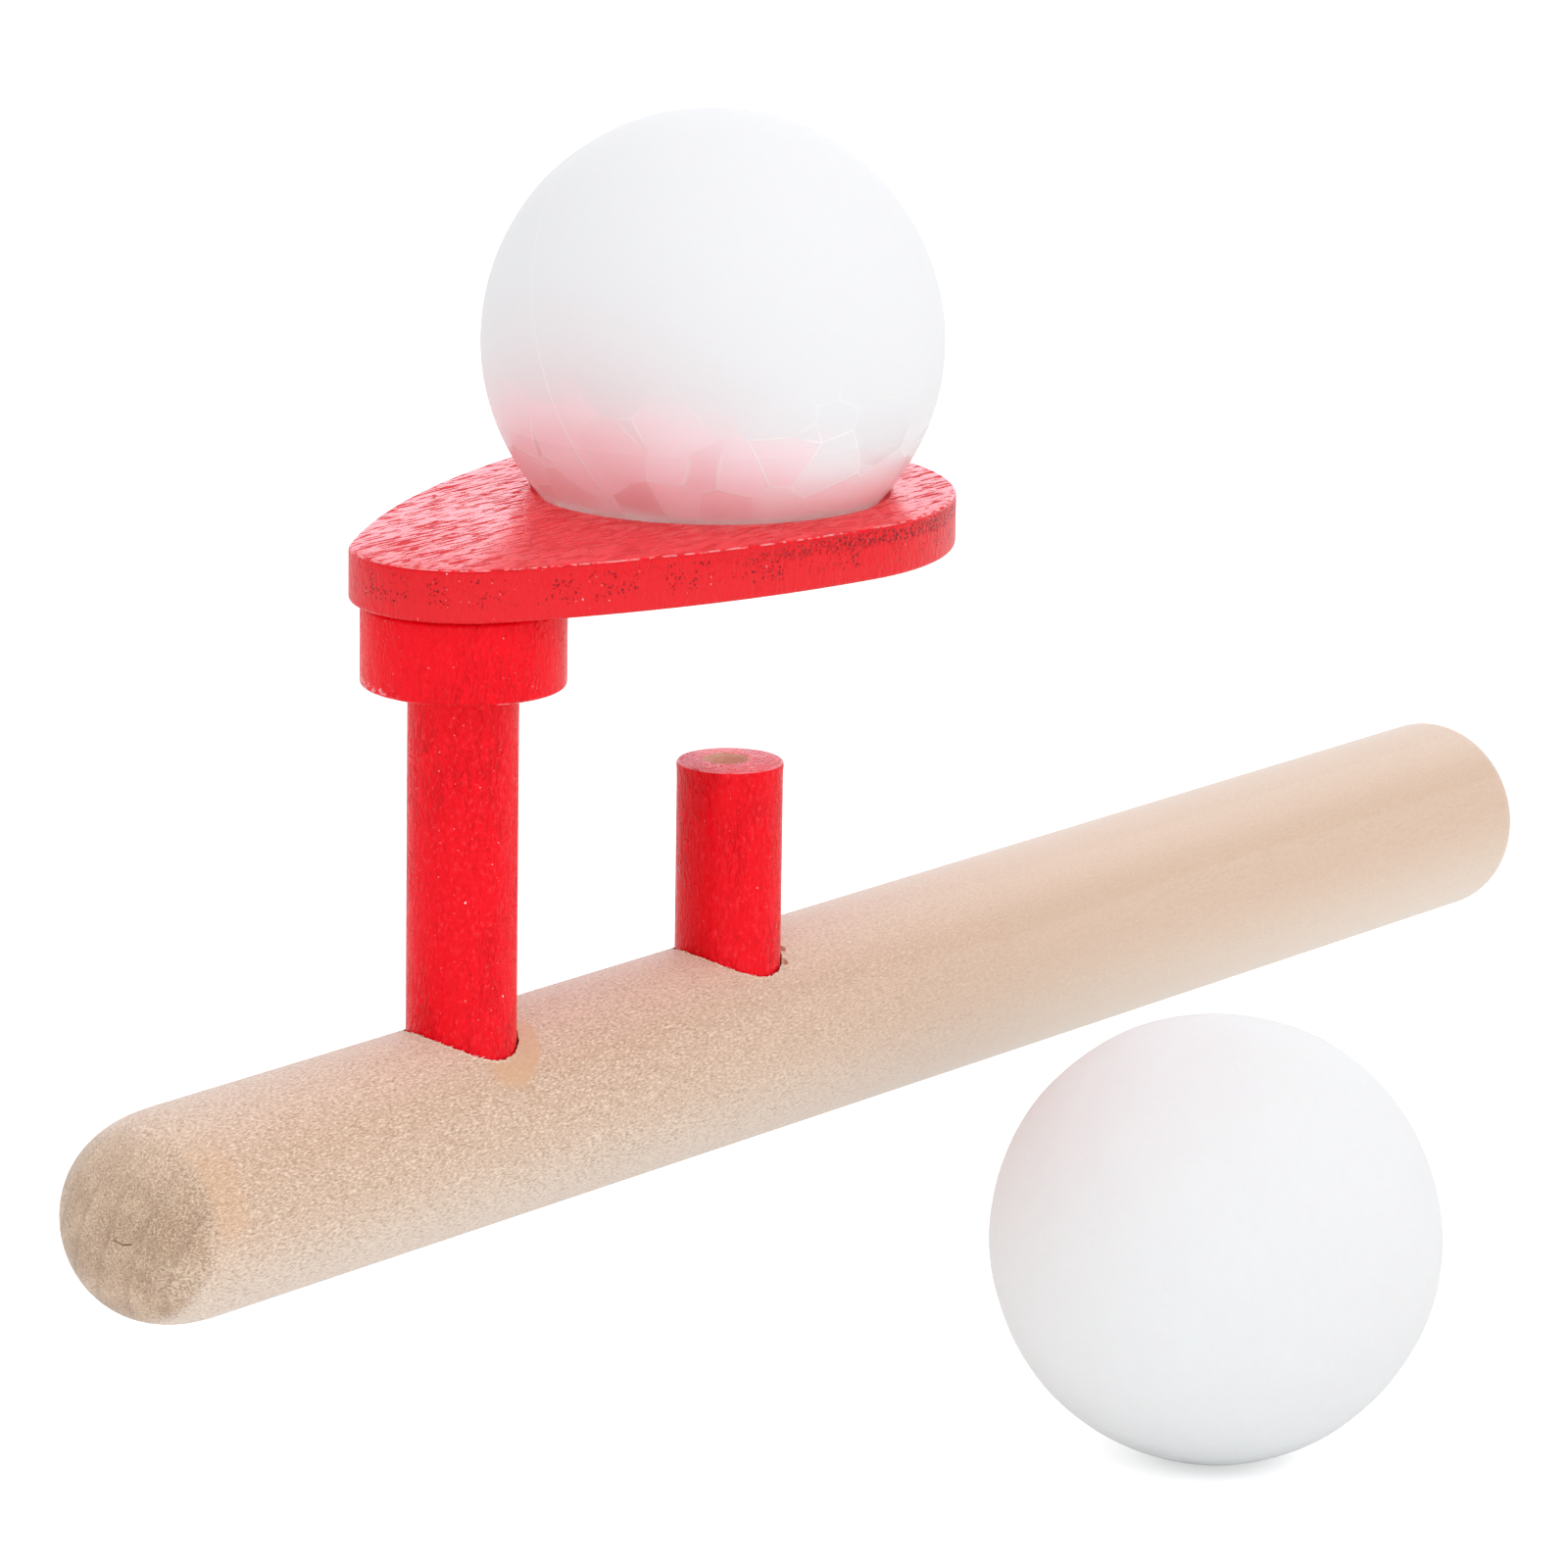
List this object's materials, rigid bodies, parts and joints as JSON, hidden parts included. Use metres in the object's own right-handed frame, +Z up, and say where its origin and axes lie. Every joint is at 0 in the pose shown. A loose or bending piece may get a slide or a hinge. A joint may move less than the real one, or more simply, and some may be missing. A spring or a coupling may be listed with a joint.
{
  "type": "blow ball game",
  "caption": "Wooden blow pipe with an upright nozzle under a red pear-shaped plate on a post; blown air lifts a white foam ball out of the plate's hole, and a loose ball lies beside it.",
  "frame": {"origin": "on the pipe's axis, in the middle of the stretch between nozzle and mouth end that a hand holds", "axes": "+X along the pipe towards the mouth end, +Z up along the post, nozzle and jet; the loose ball lies on the -Y side"},
  "size_m": [0.1935, 0.0762, 0.1201],
  "materials": {
    "bare_wood": "matte",
    "red_paint": "satin",
    "white_foam": "matte"
  },
  "bodies": {
    "toy": {"blow_pipe": "bare_wood", "post": "red_paint", "nozzle": "red_paint", "collar": "red_paint", "platform": "red_paint"},
    "ball": {"ball": "white_foam"},
    "spare_ball": {"spare_ball": "white_foam"}
  },
  "joints": [
    {"name": "ball_lift", "type": "slide", "parent": "toy", "child": "ball", "axis": [0, 0, 1], "range_m": [0, 0.1]},
    {"name": "spare_ball_lift", "type": "slide", "parent": "toy", "child": "spare_ball", "axis": [0, 0, 1], "range_m": [0, 0.1]}
  ]
}
